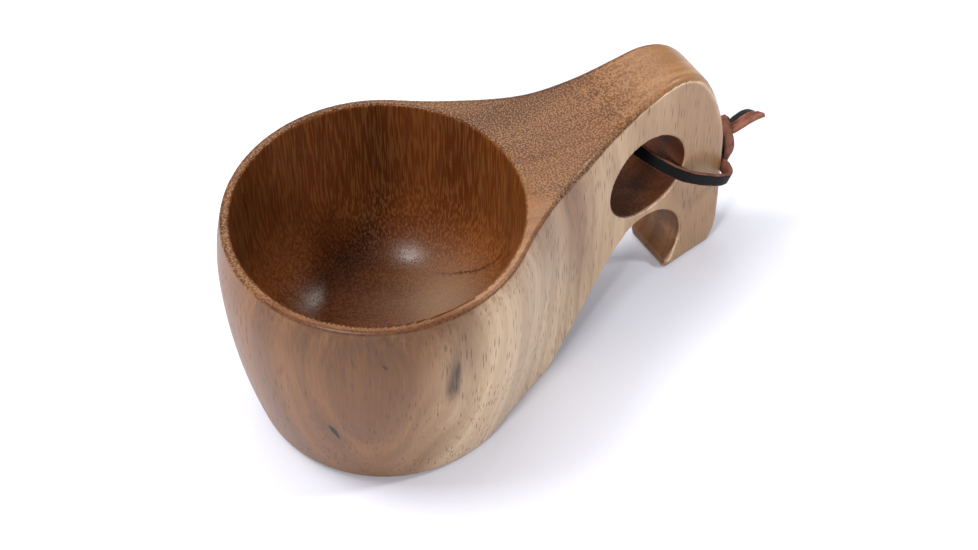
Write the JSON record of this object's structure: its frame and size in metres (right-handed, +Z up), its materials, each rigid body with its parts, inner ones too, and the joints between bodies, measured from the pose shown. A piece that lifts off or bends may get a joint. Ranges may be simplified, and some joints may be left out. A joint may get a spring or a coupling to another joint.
{
  "type": "wooden cup",
  "caption": "Carved wooden cup: round turned bowl, tapering handle with a finger hole, a finger notch and its own foot, and a knotted leather lace.",
  "frame": {"origin": "centre of the bowl's flat base, on the surface the cup stands on", "axes": "+X from the bowl towards the handle's end, +Y across the handle, +Z up"},
  "size_m": [0.1739, 0.0894, 0.0795],
  "materials": {
    "cup_wood": "oiled satin hardwood with upright grain, pale sapwood on one side and dark heartwood inside",
    "lace_leather": "black grain side, brown suede flesh side"
  },
  "bodies": {
    "cup": {"cup_body": "cup_wood"},
    "lace": {"lace_loop": "lace_leather", "lace_knot": "lace_leather", "lace_tail_front": "lace_leather", "lace_tail_back": "lace_leather"}
  },
  "joints": [
    {"name": "lace_swing", "type": "hinge", "parent": "cup", "child": "lace", "pos_m": [0.092, 0, 0.0404], "axis": [0, -1, 0], "range_deg": [0, 28]}
  ]
}
